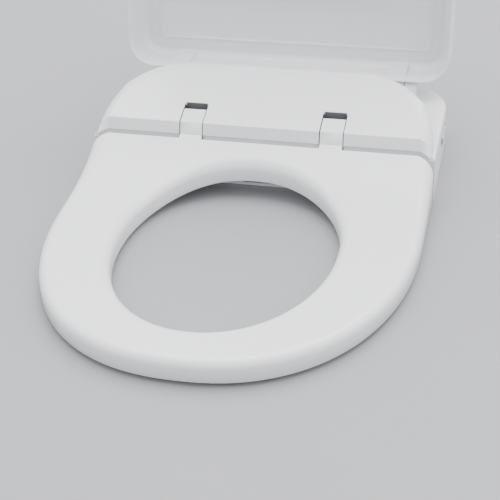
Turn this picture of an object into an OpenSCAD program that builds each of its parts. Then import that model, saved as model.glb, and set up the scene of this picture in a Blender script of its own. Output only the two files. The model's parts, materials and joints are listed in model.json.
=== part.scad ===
// Electric bidet seat: heated ring, hinged lid and a rear housing with two
// wash nozzles, a warm-air dryer and an odour filter.
// Frame: +Z up, +X to the seat's right when seen from the front, -Y is the front.
// Origin: midway between the two fixing slots, on the plane that rests on the bowl.

/* [Overall] */
// Width of the seat, lid and housing
seat_w = 380; // [350:1:420]
// From the fixing slots forward to the front tip
front_reach = 436; // [400:1:500]
// From the fixing slots back to the rear of the housing
rear_reach = 100; // [95:1:120]
// From the fixing slots forward to the widest line, where the sides turn into the front curve
wide_line = 191; // [170:1:240]
// Squareness of the front curve, 2 is an ellipse
front_power = 2.25; // [2:0.05:2.6]

/* [Ring] */
// Height of the flat front part of the ring's top face
ring_top = 26; // [24:0.5:34]
// Thickness of the ring from top face to underside
ring_t = 22; // [18:0.5:24]
// How far the ring's top face has risen at its rear edge
ring_rise = 29; // [20:0.5:31]
// Length over which the top face rises to the rear edge
rise_len = 129; // [90:1:160]
// How late the rise comes, 2 is a parabola
rise_power = 2.5; // [2:0.1:3]
// Width of the opening
hole_w = 223; // [190:1:240]
// From the fixing slots forward to the opening's widest line
hole_mid = 238; // [225:1:250]
// Opening length in front of its widest line
hole_front = 149; // [130:1:160]
// Opening length behind its widest line
hole_rear = 126; // [110:1:132]
// Wall thickness of the ring's two shells
ring_wall = 3; // [2.5:0.25:4]
// Height of the rubber buffers under the ring
buffer_h = 4; // [3:0.5:5]

/* [Seat hinge] */
// From the fixing slots forward to the seat's hinge axis
axis_fwd = 62; // [56:1:64]
// Height of the seat's hinge axis
axis_z = 66; // [64:0.5:67]
// Centre of each hinge ear from the middle
ear_x = 78; // [72:1:95]
// Width of a hinge ear
ear_w = 25; // [22:1:32]
// Radius of the hinge pins of the ring
seat_pin_r = 3.5; // [3:0.25:3.75]
// Radial clearance of hinge pins and other running fits
pin_gap = 0.05; // [0.02:0.01:0.09]
// Width of the slit on each side of an ear
ear_slit = 1; // [0.8:0.1:1.5]

/* [Housing] */
// From the fixing slots forward to the front wall of the housing
front_wall = 84; // [82:0.5:86]
// Height of the flat deck that the closed lid comes down to
deck_z = 50; // [48:0.5:54]
// Height of the hood's front strip
strip_h = 20; // [17:0.5:22]
// Highest point of the hood
hood_top = 103; // [94:0.5:104]
// From the fixing slots back to the rear of the hood
hood_back = 15; // [5:1:25]
// How far the hood's shoulders reach forward over the ring's rear corners
nose = 10; // [6:0.5:12]
// Corner radius of the hood in plan
hood_corner = 90; // [60:1:98]
// Corner radius of the housing's rear in plan
rear_corner = 60; // [30:1:65]
// Wall thickness of the housing shells
shell = 2.5; // [2:0.25:3]
// Thickness of the base tray
tray_t = 3; // [2.5:0.25:4]

/* [Lid] */
// From the fixing slots back to the lid's hinge axis
lid_axis_y = 58; // [54:1:62]
// Height of the lid's hinge axis
lid_axis_z = 62; // [61:0.5:66]
// Angle between the closed lid and the open lid
lid_open = 100; // [92:1:104]
// Height of the closed lid at its front tip
lid_front_z = 46; // [42:1:52]
// Height of the closed lid over the hood
lid_back_z = 108; // [106:1:114]
// Wall thickness of the lid's outer shell
lid_wall = 3; // [2.5:0.25:3.5]
// Radius of the hinge pins of the lid
lid_pin_r = 5; // [4:0.25:5.5]

/* [Fixing] */
// Spacing of the two fixing slots
fix_pitch = 155; // [140:1:165]
// Radius of the fixing slots' round ends
fix_r = 6; // [4:0.5:7]
// Length of the slots from centre to centre of their round ends
fix_slot = 20; // [10:1:26]
// Radius of the water inlet's threaded spigot
inlet_r = 10.48; // [9:0.01:13]

/* [Nozzles] */
// Radius of a nozzle tube
nozzle_r = 6.5; // [5.5:0.25:7]
// Spacing of the two nozzles
nozzle_pitch = 24; // [20:1:30]
// Slope of the nozzles in degrees
nozzle_tilt = 11; // [8:1:14]
// Height of the nozzle axis at the front wall
nozzle_z = 12.5; // [12:0.5:17]
// Travel of a nozzle
nozzle_travel = 95; // [70:1:95]

/* [Hidden] */
$fn = 48;
half_w = seat_w / 2;
gap = 2.5;
side_step = 5;
ring_rear = -front_wall - gap;
ring_under = ring_top - ring_t;
rise_y0 = ring_rear - rise_len;
axis_y = -axis_fwd;
hub_r = 7.5;
strip_lean = 6;
nose_w = 17.5;
nose_steps = 8;
nose_step = 0.3;
strip_z0 = deck_z;
strip_z1 = strip_z0 + strip_h;
strip_y1 = -front_wall + strip_lean;
hood_half = half_w - lid_wall - 0.5;
hood_y1 = hood_back;
ear_end = axis_y + hub_r;
slot_end = axis_y + 14;
ear_t = 8;
pin_out = 16;
pin_in = 8;
bracket_t = 5;
damper_r = 6;
damper_len = 34;
deck_gap = 2;
lid_rear = lid_axis_y - 10;
lid_arm_x = 130;
lid_arm_w = 20;
lid_hub_r = 9;
lid_bracket_w = 14;
lid_panel_t = 2;
lid_panel_gap = 5;
nozzle_len = nozzle_travel + 25;
cradle_t = 2;
bore_gap = 0.25;
rack_w = 5;
gear_pitch_r = 8.4;
gear_teeth = 14;
gear_tip = 1;
gear_root = 1.5;
gear_w = 4;
tooth_pitch = 2 * PI * gear_pitch_r / gear_teeth;
rack_base = nozzle_r - 0.5;
rack_pitch_z = nozzle_r + 4;
pinion_y = 20;
rack_teeth = floor((nozzle_len - pinion_y) / tooth_pitch);
motor_r = 11;
motor_len = 16;
plate_t = 5;
plate_w = 216;
plate_d = 64;
plate_gap = 0.4;
panel_y = 15;
panel_len = 48;
panel_h = 16;
panel_z = 28;
button_r = 3.6;
button_pitch = 11;
button_count = 4;
button_proud = 1;
button_gap = 0.3;
blower_x = 140;
blower_y = 10;
blower_r = 40;
blower_h = 30;
blower_z = 5;
impeller_r = 30;
duct_x0 = 30;
duct_x1 = 54;
duct_z0 = 5;
duct_z1 = 19;
fan_x = -38;
fan_y = -34;
fan_r = 12;
tray_x = 46;
tray_y = 24;
tray_w = 32;
tray_z0 = 10;
tray_h = 28;
tank_x0 = -170;
tank_x1 = -100;
tank_y0 = -46;
tank_y1 = 2;
tank_z0 = 5;
tank_h = 38;
inlet_x = -118;
inlet_z = 22;
gland_x = 110;
gland_r = 8;
far = 300;

// ---------- outlines and heights ----------

function shaped(v, p) = sign(v) * pow(abs(v), p);

// U-shaped outline: squared ellipse in front, straight sides, rounded rear corners.
function u_outline(inset, rear_y, corner) = let (
        w = half_w - inset,
        front = front_reach - inset,
        r = max(corner - inset, 1),
        back = rear_y - inset
    ) concat(
        [for (t = [0 : side_step : 180]) [
            w * shaped(cos(t), 2 / front_power),
            -wide_line - (front - wide_line) * shaped(sin(t), 2 / front_power)]],
        [for (t = [180 : -15 : 90]) [r - w + r * cos(t), back - r + r * sin(t)]],
        [for (t = [90 : -15 : 0]) [w - r + r * cos(t), back - r + r * sin(t)]]
    );

// Egg-shaped outline of the opening, grown outwards by grow.
function hole_outline(grow) = [for (t = [0 : side_step : 355]) let (
        w = hole_w / 2 + grow,
        len = (sin(t) < 0 ? hole_front : hole_rear) + grow,
        p = sin(t) < 0 ? 2.05 : 2.2
    ) [w * shaped(cos(t), 2 / p), -hole_mid + len * shaped(sin(t), 2 / p)]];

// Reach of a shoulder in front of the front wall, by the distance from the seat's side.
function nose_reach(from_side) = nose * pow(max(0, 1 - from_side / nose_w), 1.4);

// Plan outline of the right shoulder, measured from front_y.
function nose_outline(front_y, back_y, edge, grow) = concat(
    [for (i = [0 : nose_steps]) let (d = edge + (nose_w - edge) * i / nose_steps)
        [half_w - d - grow, front_y - nose_reach(d) - grow]],
    [[half_w - nose_w - grow, back_y], [half_w - edge, back_y]]
);

function ring_z(y) = ring_top + ring_rise * pow(max(0, (y - rise_y0) / rise_len), rise_power);

// Heights of the closed lid's outer face and of its rim.
function lid_z(y) = lid_front_z + (lid_back_z - lid_front_z)
    * sin(90 * min(1, (y + front_reach) / (front_reach + hood_back)));
function rim_z(y) = y < ring_rear ? ring_z(y) + deck_gap : deck_z + deck_gap;

// Height of the hood's top face behind its front strip.
function hood_z(y) = let (t = (y - strip_y1) / (hood_y1 - strip_y1))
    strip_z1 + (hood_top - strip_z1) * (0.9 * t + 0.1 * t * t);

// Prism across the whole width with a side-view outline given as [y, z] points.
module side_prism(points, width) {
    rotate([90, 0, 90])
        linear_extrude(height = width, center = true)
            polygon(points);
}

module box(x0, x1, y0, y1, z0, z1) {
    translate([x0, y0, z0])
        cube([x1 - x0, y1 - y0, z1 - z0]);
}

module plan(points, z0, z1) {
    translate([0, 0, z0])
        linear_extrude(height = z1 - z0)
            polygon(points);
}

// Cylinder along +X that starts at x0.
module rod_x(x0, x1, y, z, r) {
    translate([x0, y, z])
        rotate([0, 90, 0])
            cylinder(r = r, h = x1 - x0);
}

module rod_y(x, y0, y1, z, r) {
    translate([x, y0, z])
        rotate([-90, 0, 0])
            cylinder(r = r, h = y1 - y0);
}

module rod_z(x, y, z0, z1, r) {
    translate([x, y, z0])
        cylinder(r = r, h = z1 - z0);
}

// Side-view outline under the ring's top face lowered by drop, down to z0.
function ring_profile(drop, z0) = concat(
    [[-front_reach - 1, z0], [-front_reach - 1, ring_top - drop]],
    [for (i = [0 : 12]) let (y = rise_y0 + rise_len * i / 12) [y, ring_z(y) - drop]],
    [[ring_rear + 1, ring_z(ring_rear) - drop], [ring_rear + 1, z0]]
);

// Side-view outline of the space under the rising rear of the ring.
function under_profile() = concat(
    [[rise_y0, 0]],
    [for (i = [0 : 12]) let (y = rise_y0 + (rise_len + 1) * i / 12) [y, ring_z(y) - ring_t]],
    [[ring_rear + 2, ring_z(ring_rear) - ring_t], [ring_rear + 2, 0]]
);

// ---------- ring ----------

ring_corner = 3;

function ear_profile() = [
    [ring_rear - 12, ring_z(ring_rear - 12)],
    [-front_wall, ring_z(ring_rear) + 1],
    [strip_y1, strip_z1],
    [axis_y + 3, hood_z(axis_y + 3)],
    [ear_end, hood_z(axis_y + 3) - 3],
    [ear_end, axis_z],
    [axis_y - hub_r, axis_z],
    [strip_y1 + 4, strip_z1 - ear_t - 2],
    [ring_rear - 1, strip_z0 - 10],
    [ring_rear - 12, ring_z(ring_rear - 12) - ear_t]
];

module ear(side) {
    translate([side * ear_x, 0, 0])
        difference() {
            union() {
                side_prism(ear_profile(), ear_w);
                rod_x(-ear_w / 2, ear_w / 2, axis_y, axis_z, hub_r);
            }
            rod_x(-ear_w, ear_w, axis_y, axis_z, seat_pin_r);
        }
}

// Room in the ring's rear corners for the hood's shoulders.
module corner_room(grow) {
    for (side = [-1, 1])
        mirror([side < 0 ? 1 : 0, 0, 0])
            plan(nose_outline(ring_rear, ring_rear + 6, -1, grow), 0, far);
}

module seat_top_shell() {
    color("white")
        union() {
            difference() {
                intersection() {
                    plan(u_outline(0, ring_rear, ring_corner), ring_under, far);
                    side_prism(ring_profile(0, 0), seat_w + 2);
                }
                corner_room(0);
                plan(hole_outline(0), -1, far);
                intersection() {
                    plan(u_outline(ring_wall, ring_rear, ring_corner), 0, far);
                    side_prism(ring_profile(ring_wall, -1), seat_w + 2);
                    difference() {
                        plan(u_outline(-1, ring_rear + 5, ring_corner), -1, far);
                        plan(hole_outline(ring_wall), -2, far);
                        corner_room(ring_wall);
                    }
                }
                side_prism(under_profile(), seat_w - 2 * ring_wall);
            }
            for (side = [-1, 1])
                ear(side);
        }
}

// Closes the ring from below; its underside rises with the top face so that the
// nozzles pass under the rear of the ring.
module seat_bottom_shell() {
    color("whitesmoke")
        difference() {
            intersection() {
                plan(u_outline(ring_wall, ring_rear, ring_corner), ring_under, far);
                side_prism(ring_profile(ring_t - ring_wall, 0), seat_w);
            }
            corner_room(ring_wall);
            plan(hole_outline(ring_wall), -1, far);
            side_prism(under_profile(), seat_w);
        }
}

wire_inset = [22, 38, 54];
wire_t = 1.5;

// Heating loops laid under the front, flat part of the top shell.
module seat_heating_wire() {
    color("orange")
        intersection() {
            for (inset = wire_inset)
                difference() {
                    plan(u_outline(inset, ring_rear, ring_corner),
                        ring_top - ring_wall - wire_t, ring_top - ring_wall);
                    plan(u_outline(inset + wire_t, ring_rear, ring_corner), 0, far);
                }
            difference() {
                box(-half_w, half_w, -front_reach, rise_y0, 0, far);
                plan(hole_outline(ring_wall + 2), 0, far);
            }
        }
}

buffer_r = 9;
buffer_spots = [[150, -wide_line - 24], [86, -front_reach + 60]];

module seat_buffers() {
    color("dimgray")
        for (spot = buffer_spots, side = [-1, 1])
            rod_z(side * spot[0], spot[1], ring_under - buffer_h, ring_under, buffer_r);
}

sensor_x = 150;

module seat_occupancy_sensor() {
    color("darkgreen")
        box(sensor_x - 14, sensor_x + 14, rise_y0 - 40, rise_y0 - 12,
            ring_under + ring_wall, ring_under + ring_wall + 4);
}

module seat_hinge_pins() {
    color("silver")
        for (side = [-1, 1])
            mirror([side < 0 ? 1 : 0, 0, 0])
                rod_x(ear_x - ear_w / 2 - pin_in, ear_x + ear_w / 2 + pin_out,
                    axis_y, axis_z, seat_pin_r);
}

// ---------- lid ----------

// Places a piece that is drawn closed at the open angle.
module opened() {
    translate([0, lid_axis_y, lid_axis_z])
        rotate([-lid_open, 0, 0])
            translate([0, -lid_axis_y, -lid_axis_z])
                children();
}

lid_steps = 14;
lid_corner = 30;

function lid_ys() = [for (i = [0 : lid_steps])
    -front_reach - 1 + (lid_rear + 1 + front_reach + 1) * i / lid_steps];

function lid_top_profile(drop, z0) = concat(
    [[-front_reach - 1, z0]],
    [for (y = lid_ys()) [y, lid_z(max(y, -front_reach)) - drop]],
    [[lid_rear + 1, z0]]
);

// Everything above the lid's rim.
function rim_profile() = concat(
    [[-front_reach - 2, far], [-front_reach - 2, rim_z(-front_reach)]],
    [for (i = [0 : 8]) let (y = rise_y0 + (rise_len - 0.1) * i / 8) [y, rim_z(y)]],
    [[ring_rear + 0.5, deck_z + deck_gap], [lid_rear + 2, deck_z + deck_gap], [lid_rear + 2, far]]
);

module lid_arm(side) {
    translate([side * lid_arm_x, 0, 0])
        difference() {
            union() {
                rod_x(-lid_arm_w / 2, lid_arm_w / 2, lid_axis_y, lid_axis_z, lid_hub_r);
                side_prism([
                    [lid_rear - 12, lid_back_z - lid_wall],
                    [lid_rear - 1, lid_back_z - lid_wall],
                    [lid_axis_y + 2, lid_axis_z + lid_hub_r - 1],
                    [lid_axis_y - 2, lid_axis_z - 2],
                    [lid_rear - 4, lid_axis_z + 4]
                ], lid_arm_w);
            }
            rod_x(-lid_arm_w, lid_arm_w, lid_axis_y, lid_axis_z, lid_pin_r);
        }
}

module lid_outer_shell() {
    color("white")
        opened()
            union() {
                intersection() {
                    difference() {
                        plan(u_outline(0, lid_rear, lid_corner), 0, far);
                        intersection() {
                            plan(u_outline(lid_wall, lid_rear, lid_corner), -1, far);
                            side_prism(lid_top_profile(lid_wall, -2), seat_w + 2);
                        }
                    }
                    side_prism(lid_top_profile(0, 0), seat_w + 2);
                    side_prism(rim_profile(), seat_w + 4);
                }
                for (side = [-1, 1])
                    lid_arm(side);
            }
}

// Thin inner skin, carried a little below the outer shell; its edge meets the skirt.
module lid_inner_panel() {
    color("whitesmoke")
        opened()
            difference() {
                intersection() {
                    plan(u_outline(lid_wall, hood_y1 - 40, lid_corner), 0, far);
                    side_prism(lid_top_profile(lid_wall + lid_panel_gap, 0), seat_w + 2);
                }
                side_prism(lid_top_profile(lid_wall + lid_panel_gap + lid_panel_t, -1),
                    seat_w + 4);
            }
}

lid_buffer_r = 7;
lid_buffer_spots = [[150, -wide_line - 50], [80, -front_reach + 48]];

module lid_buffers() {
    color("gainsboro")
        opened()
            for (spot = lid_buffer_spots, side = [-1, 1])
                rod_z(side * spot[0], spot[1], ring_z(spot[1]) + 0.5,
                    lid_z(spot[1] - lid_buffer_r) - lid_wall - lid_panel_gap - lid_panel_t,
                    lid_buffer_r);
}

module lid_hinge_pins() {
    color("silver")
        for (side = [-1, 1])
            rod_x(side * lid_arm_x - lid_arm_w / 2 - lid_bracket_w,
                side * lid_arm_x + lid_arm_w / 2 + lid_bracket_w,
                lid_axis_y, lid_axis_z, lid_pin_r);
}

// ---------- housing shells ----------

function hood_outline(inset) = let (
        w = hood_half - inset,
        r = hood_corner - inset,
        back = hood_y1 - inset,
        front = -front_wall + inset
    ) concat(
        [[w, front], [-w, front]],
        [for (t = [180 : -7.5 : 90]) [r - w + r * cos(t), back - r + r * sin(t)]],
        [for (t = [90 : -7.5 : 0]) [w - r + r * cos(t), back - r + r * sin(t)]]
    );

function hood_profile(drop, z0) = concat(
    [[-front_wall + drop, z0], [-front_wall + drop, strip_z0], [strip_y1 + drop, strip_z1 - drop]],
    [for (i = [1 : 8]) let (y = strip_y1 + (hood_y1 - strip_y1) * i / 8)
        [y + (i == 8 ? 1 : 0), hood_z(y) - drop]],
    [[hood_y1 + 1, z0]]
);

// Space around an ear: a slot through the hood that lets the ear swing back.
module ear_slot(side) {
    w = ear_w / 2 + ear_slit;
    box(side * ear_x - w, side * ear_x + w, -front_wall - 5, slot_end, deck_z - 8, far);
}

// Right shoulder of the hood; it leans back as the front strip does.
module hood_nose() {
    intersection() {
        translate([0, -front_wall, deck_z])
            rotate([-atan(strip_lean / strip_h), 0, 0])
                plan(nose_outline(nose_step, shell - nose_step, half_w - hood_half + nose_step, 0),
                    -nose, 2 * strip_h);
        box(0, half_w, -front_wall - 2 * nose, 0, deck_z + nose_step, strip_z1 - nose_step);
    }
}

module hood() {
    color("white")
        union() {
            difference() {
                intersection() {
                    plan(hood_outline(0), deck_z, far);
                    side_prism(hood_profile(0, 0), seat_w);
                }
                intersection() {
                    plan(hood_outline(shell), deck_z - 1, far);
                    side_prism(hood_profile(shell, 0), seat_w);
                }
                for (side = [-1, 1])
                    ear_slot(side);
            }
            for (side = [-1, 1])
                mirror([side < 0 ? 1 : 0, 0, 0])
                    hood_nose();
        }
}

function rear_outline(inset) = let (
        w = half_w - inset,
        r = rear_corner - inset,
        back = rear_reach - inset,
        front = -front_wall + inset
    ) concat(
        [[w, front], [-w, front]],
        [for (t = [180 : -10 : 90]) [r - w + r * cos(t), back - r + r * sin(t)]],
        [for (t = [90 : -10 : 0]) [w - r + r * cos(t), back - r + r * sin(t)]]
    );

port_w = nozzle_pitch + 2 * nozzle_r + 5;

module lower_cover() {
    color("white")
        difference() {
            plan(rear_outline(0), tray_t, deck_z);
            plan(rear_outline(shell), 0, deck_z - shell);
            plan(hood_outline(shell + 2), 0, far);
            for (side = [-1, 1])
                ear_slot(side);
            box(-port_w / 2, port_w / 2, -front_wall - 5, -front_wall + 5, 0, 32);
            box(duct_x0, duct_x1, -front_wall - 5, -front_wall + 5, duct_z0, duct_z1);
            box(-duct_x1, -duct_x0, -front_wall - 5, -front_wall + 5, duct_z0, duct_z1);
            box(-8, 8, -front_wall - 5, -front_wall + 5, 37, 44);
            box(half_w - 5, half_w + 5, panel_y - panel_len / 2, panel_y + panel_len / 2,
                panel_z - panel_h / 2, panel_z + panel_h / 2);
            box(-half_w - 5, -half_w + 5, tray_y - tray_w / 2, tray_y + tray_w / 2,
                tray_z0, tray_z0 + tray_h);
            rod_x(half_w - 5, half_w + 5, -30, 16, release_r + button_gap);
            rod_y(inlet_x, rear_reach - 5, rear_reach + 5, inlet_z, inlet_neck_r + button_gap);
            rod_y(gland_x, rear_reach - 5, rear_reach + 5, inlet_z, gland_r - 1);
        }
}

screw_spots = [[168, -66], [78, 72], [175, 46]];
screw_r = 4;

module base_tray() {
    color("whitesmoke")
        difference() {
            plan(rear_outline(0), 0, tray_t);
            box(-plate_w / 2 - plate_gap, plate_w / 2 + plate_gap,
                -plate_d / 2 - plate_gap, plate_d / 2 + plate_gap, -1, tray_t + 1);
            for (spot = screw_spots, side = [-1, 1])
                rod_z(side * spot[0], spot[1], -1, tray_t + 1, screw_r);
        }
}

module fixing_slot(side) {
    for (end = [-1, 1])
        rod_z(side * fix_pitch / 2 + end * fix_slot / 2, 0, -1, plate_t + 1, fix_r);
    box(side * fix_pitch / 2 - fix_slot / 2, side * fix_pitch / 2 + fix_slot / 2,
        -fix_r, fix_r, -1, plate_t + 1);
}

module mounting_plate() {
    pad = fix_slot / 2 + fix_r + 8;
    color("lightgray")
        difference() {
            union() {
                box(-plate_w / 2, plate_w / 2, -plate_d / 2, plate_d / 2, 0, tray_t);
                for (side = [-1, 1])
                    box(side * fix_pitch / 2 - pad, side * fix_pitch / 2 + pad,
                        -plate_d / 2, plate_d / 2, 0, plate_t);
            }
            for (side = [-1, 1])
                fixing_slot(side);
        }
}

module housing_screws() {
    color("silver")
        for (spot = screw_spots, side = [-1, 1])
            difference() {
                union() {
                    rod_z(side * spot[0], spot[1], 0.5, tray_t, screw_r);
                    rod_z(side * spot[0], spot[1], tray_t, tray_t + 8, screw_r / 2);
                }
                box(side * spot[0] - 3, side * spot[0] + 3, spot[1] - 0.5, spot[1] + 0.5, 0, 1.5);
            }
}

// ---------- hinge hardware ----------

module hinge_bracket(side) {
    x_in = ear_x - ear_w / 2 - ear_slit - 0.5;
    x_out = ear_x + ear_w / 2 + ear_slit + 0.5;
    mirror([side < 0 ? 1 : 0, 0, 0])
        difference() {
            union() {
                for (x = [x_in - bracket_t, x_out]) {
                    rod_x(x, x + bracket_t, axis_y, axis_z, damper_r - 0.5);
                    box(x, x + bracket_t, axis_y - 5.5, axis_y + 5.5, tray_t, axis_z);
                }
                box(x_in, x_out, axis_y - 5.5, axis_y + 5.5, tray_t, tray_t + 4);
            }
            rod_x(0, far, axis_y, axis_z, seat_pin_r + pin_gap);
        }
}

module seat_hinge_bracket_left() {
    color("gray")
        hinge_bracket(-1);
}

module seat_hinge_bracket_right() {
    color("gray")
        hinge_bracket(1);
}

module seat_dampers() {
    x0 = ear_x + ear_w / 2 + ear_slit + 0.5 + bracket_t;
    color("dimgray")
        for (side = [-1, 1])
            mirror([side < 0 ? 1 : 0, 0, 0])
                difference() {
                    rod_x(x0, x0 + damper_len, axis_y, axis_z, damper_r);
                    rod_x(x0 - 1, ear_x + ear_w / 2 + pin_out + 0.5, axis_y, axis_z,
                        seat_pin_r + pin_gap);
                }
}

bracket_side_gap = 0.5;

module lid_hinge_brackets() {
    color("white")
        for (side = [-1, 1], end = [-1, 1]) {
            x = side * lid_arm_x + end * (lid_arm_w / 2 + bracket_side_gap + lid_bracket_w / 2);
            difference() {
                union() {
                    rod_x(x - lid_bracket_w / 2, x + lid_bracket_w / 2,
                        lid_axis_y, lid_axis_z, lid_hub_r);
                    box(x - lid_bracket_w / 2, x + lid_bracket_w / 2,
                        lid_axis_y - lid_hub_r, lid_axis_y + lid_hub_r, deck_z, lid_axis_z);
                }
                rod_x(x - lid_bracket_w, x + lid_bracket_w, lid_axis_y, lid_axis_z,
                    lid_pin_r + pin_gap);
            }
        }
}

module lid_dampers() {
    x1 = lid_arm_x - lid_arm_w / 2 - bracket_side_gap - lid_bracket_w;
    color("dimgray")
        for (side = [-1, 1])
            mirror([side < 0 ? 1 : 0, 0, 0])
                union() {
                    rod_x(x1 - 46, x1, lid_axis_y, lid_axis_z, lid_hub_r - 1);
                    box(x1 - 40, x1 - 6, lid_axis_y - 5, lid_axis_y + 5, deck_z, lid_axis_z);
                }
}

// ---------- nozzles ----------

// Moves into the frame of a nozzle: its tube runs along +Y from the front wall.
module nozzle_frame(x) {
    translate([x, -front_wall, nozzle_z])
        rotate([nozzle_tilt, 0, 0])
            children();
}

bush_y0 = 4;
bush_y1 = 13;

module nozzle_cradle() {
    color("lightgray")
        nozzle_frame(0)
            difference() {
                union() {
                    box(-port_w / 2 + 1, port_w / 2 - 1, bush_y0, bush_y1,
                        -nozzle_r - cradle_t, nozzle_r + 2);
                    box(-port_w / 2 + 1, port_w / 2 - 1, bush_y0, nozzle_len,
                        -nozzle_r - cradle_t, -nozzle_r - 0.5);
                }
                for (side = [-1, 1]) {
                    rod_y(side * nozzle_pitch / 2, bush_y0 - 1, bush_y1 + 1, 0,
                        nozzle_r + bore_gap);
                    box(side * nozzle_pitch / 2 - rack_w / 2 - 0.5,
                        side * nozzle_pitch / 2 + rack_w / 2 + 0.5,
                        bush_y0 - 1, bush_y1 + 1, 0, 2 * nozzle_r);
                }
            }
}

// Straight rack teeth, one of them centred over pinion_y.
function rack_points() = concat(
    [[pinion_y - tooth_pitch, rack_base]],
    [for (i = [-1 : rack_teeth - 1]) let (y = pinion_y + i * tooth_pitch) each [
        [y - 1.05, rack_pitch_z - gear_root], [y - 0.4, rack_pitch_z + gear_tip],
        [y + 0.4, rack_pitch_z + gear_tip], [y + 1.05, rack_pitch_z - gear_root]]],
    [[pinion_y + (rack_teeth - 1) * tooth_pitch + 1.05, rack_base]]
);

tip_len = 14;

module nozzle_body(side) {
    nozzle_frame(side * nozzle_pitch / 2)
        difference() {
            union() {
                rod_y(0, tip_len, nozzle_len, 0, nozzle_r);
                side_prism(rack_points(), rack_w);
            }
            rod_y(0, tip_len - 1, nozzle_len - 4, 0, nozzle_r - 2);
            rod_y(0, nozzle_len - 5, nozzle_len + 1, 0, 2);
        }
}

module nozzle_tip(side, holes) {
    nozzle_frame(side * nozzle_pitch / 2)
        difference() {
            union() {
                rod_y(0, 1.5, tip_len, 0, nozzle_r);
                rod_y(0, tip_len, tip_len + 5, 0, nozzle_r - 2);
            }
            for (i = [0 : holes - 1])
                rod_z((i - (holes - 1) / 2) * 2.4, 7.5, 0, 2 * nozzle_r, 0.7);
        }
}

module rear_wash_nozzle() {
    color("gainsboro")
        nozzle_body(-1);
}

module rear_wash_tip() {
    color("silver")
        nozzle_tip(-1, 3);
}

module front_wash_nozzle() {
    color("gainsboro")
        nozzle_body(1);
}

module front_wash_tip() {
    color("silver")
        nozzle_tip(1, 5);
}

motor_shaft_r = 2;
motor_gap = 14;

module nozzle_motor(side) {
    nozzle_frame(0)
        mirror([side < 0 ? 1 : 0, 0, 0])
            difference() {
                union() {
                    rod_x(nozzle_pitch / 2 + motor_gap, nozzle_pitch / 2 + motor_gap + motor_len,
                        pinion_y, rack_pitch_z + gear_pitch_r, motor_r);
                    box(nozzle_pitch / 2 + motor_gap, nozzle_pitch / 2 + motor_gap + 3.5,
                        pinion_y - 5, pinion_y + 16, -6, rack_pitch_z);
                }
                rod_x(0, nozzle_pitch / 2 + motor_gap + 8, pinion_y,
                    rack_pitch_z + gear_pitch_r, motor_shaft_r + pin_gap);
            }
}

module rear_nozzle_motor() {
    color("dimgray")
        nozzle_motor(-1);
}

module front_nozzle_motor() {
    color("dimgray")
        nozzle_motor(1);
}

// Gear outline with a gap centred at the bottom, where a rack tooth stands at rest.
function pinion_points() = [for (i = [0 : gear_teeth - 1])
    let (a = -90 + (i + 0.5) * 360 / gear_teeth) each [
        (gear_pitch_r - gear_root) * [cos(a - 7.6), sin(a - 7.6)],
        (gear_pitch_r + gear_tip) * [cos(a - 2.6), sin(a - 2.6)],
        (gear_pitch_r + gear_tip) * [cos(a + 2.6), sin(a + 2.6)],
        (gear_pitch_r - gear_root) * [cos(a + 7.6), sin(a + 7.6)]]];

module pinion(side) {
    nozzle_frame(0)
        mirror([side < 0 ? 1 : 0, 0, 0])
            union() {
                translate([nozzle_pitch / 2, pinion_y, rack_pitch_z + gear_pitch_r])
                    rotate([90, 0, 90])
                        linear_extrude(height = gear_w, center = true)
                            polygon(pinion_points());
                rod_x(nozzle_pitch / 2, nozzle_pitch / 2 + motor_gap + 7, pinion_y,
                    rack_pitch_z + gear_pitch_r, motor_shaft_r);
            }
}

module rear_nozzle_pinion() {
    color("beige")
        pinion(-1);
}

module front_nozzle_pinion() {
    color("beige")
        pinion(1);
}

// ---------- dryer ----------

duct_wall = 1.5;
duct_y = -40;

module blower_casing() {
    color("darkgray")
        difference() {
            union() {
                rod_z(blower_x, blower_y, blower_z, blower_z + blower_h, blower_r);
                box(duct_x1 + 4, blower_x, blower_y - blower_r, blower_y - blower_r + 24,
                    blower_z, blower_z + 18);
            }
            rod_z(blower_x, blower_y, blower_z + 2, blower_z + blower_h - 2, blower_r - 2);
            rod_z(blower_x, blower_y, blower_z + 10, blower_z + blower_h + 1, 14);
            box(duct_x1, blower_x, blower_y - blower_r + 2, blower_y - blower_r + 22,
                blower_z + 2, blower_z + 16);
        }
}

module blower_impeller() {
    color("beige")
        union() {
            rod_z(blower_x, blower_y, blower_z + 5, blower_z + 7, impeller_r);
            difference() {
                rod_z(blower_x, blower_y, blower_z + 6, blower_z + 22, 6);
                rod_z(blower_x, blower_y, blower_z + 9, blower_z + 23, 2 + pin_gap);
            }
            for (i = [0 : 15])
                translate([blower_x, blower_y, 0])
                    rotate([0, 0, i * 22.5])
                        box(18, impeller_r - 1, -0.8, 0.8, blower_z + 6, blower_z + 20);
        }
}

module blower_motor() {
    color("dimgray")
        union() {
            rod_z(blower_x, blower_y, blower_z + 24, blower_z + blower_h + 4, 12);
            rod_z(blower_x, blower_y, blower_z + 10, blower_z + 25, 2);
            box(blower_x - 18, blower_x + 18, blower_y - 3, blower_y + 3,
                blower_z + blower_h, blower_z + blower_h + 3);
        }
}

module dryer_duct() {
    y1 = blower_y - blower_r + 24;
    color("silver")
        difference() {
            union() {
                box(duct_x0, duct_x1, -front_wall + shell, y1, duct_z0, duct_z1);
                box(duct_x1 - 1, duct_x1 + 4, blower_y - blower_r, y1, duct_z0, duct_z1 + 4);
            }
            box(duct_x0 + duct_wall, duct_x1 - duct_wall, -front_wall, y1 - duct_wall,
                duct_z0 + duct_wall, duct_z1 - duct_wall);
            box(duct_x1 - 5, duct_x1 + 5, blower_y - blower_r + 2, y1 - 2,
                duct_z0 + duct_wall, duct_z1 - duct_wall);
        }
}

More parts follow.
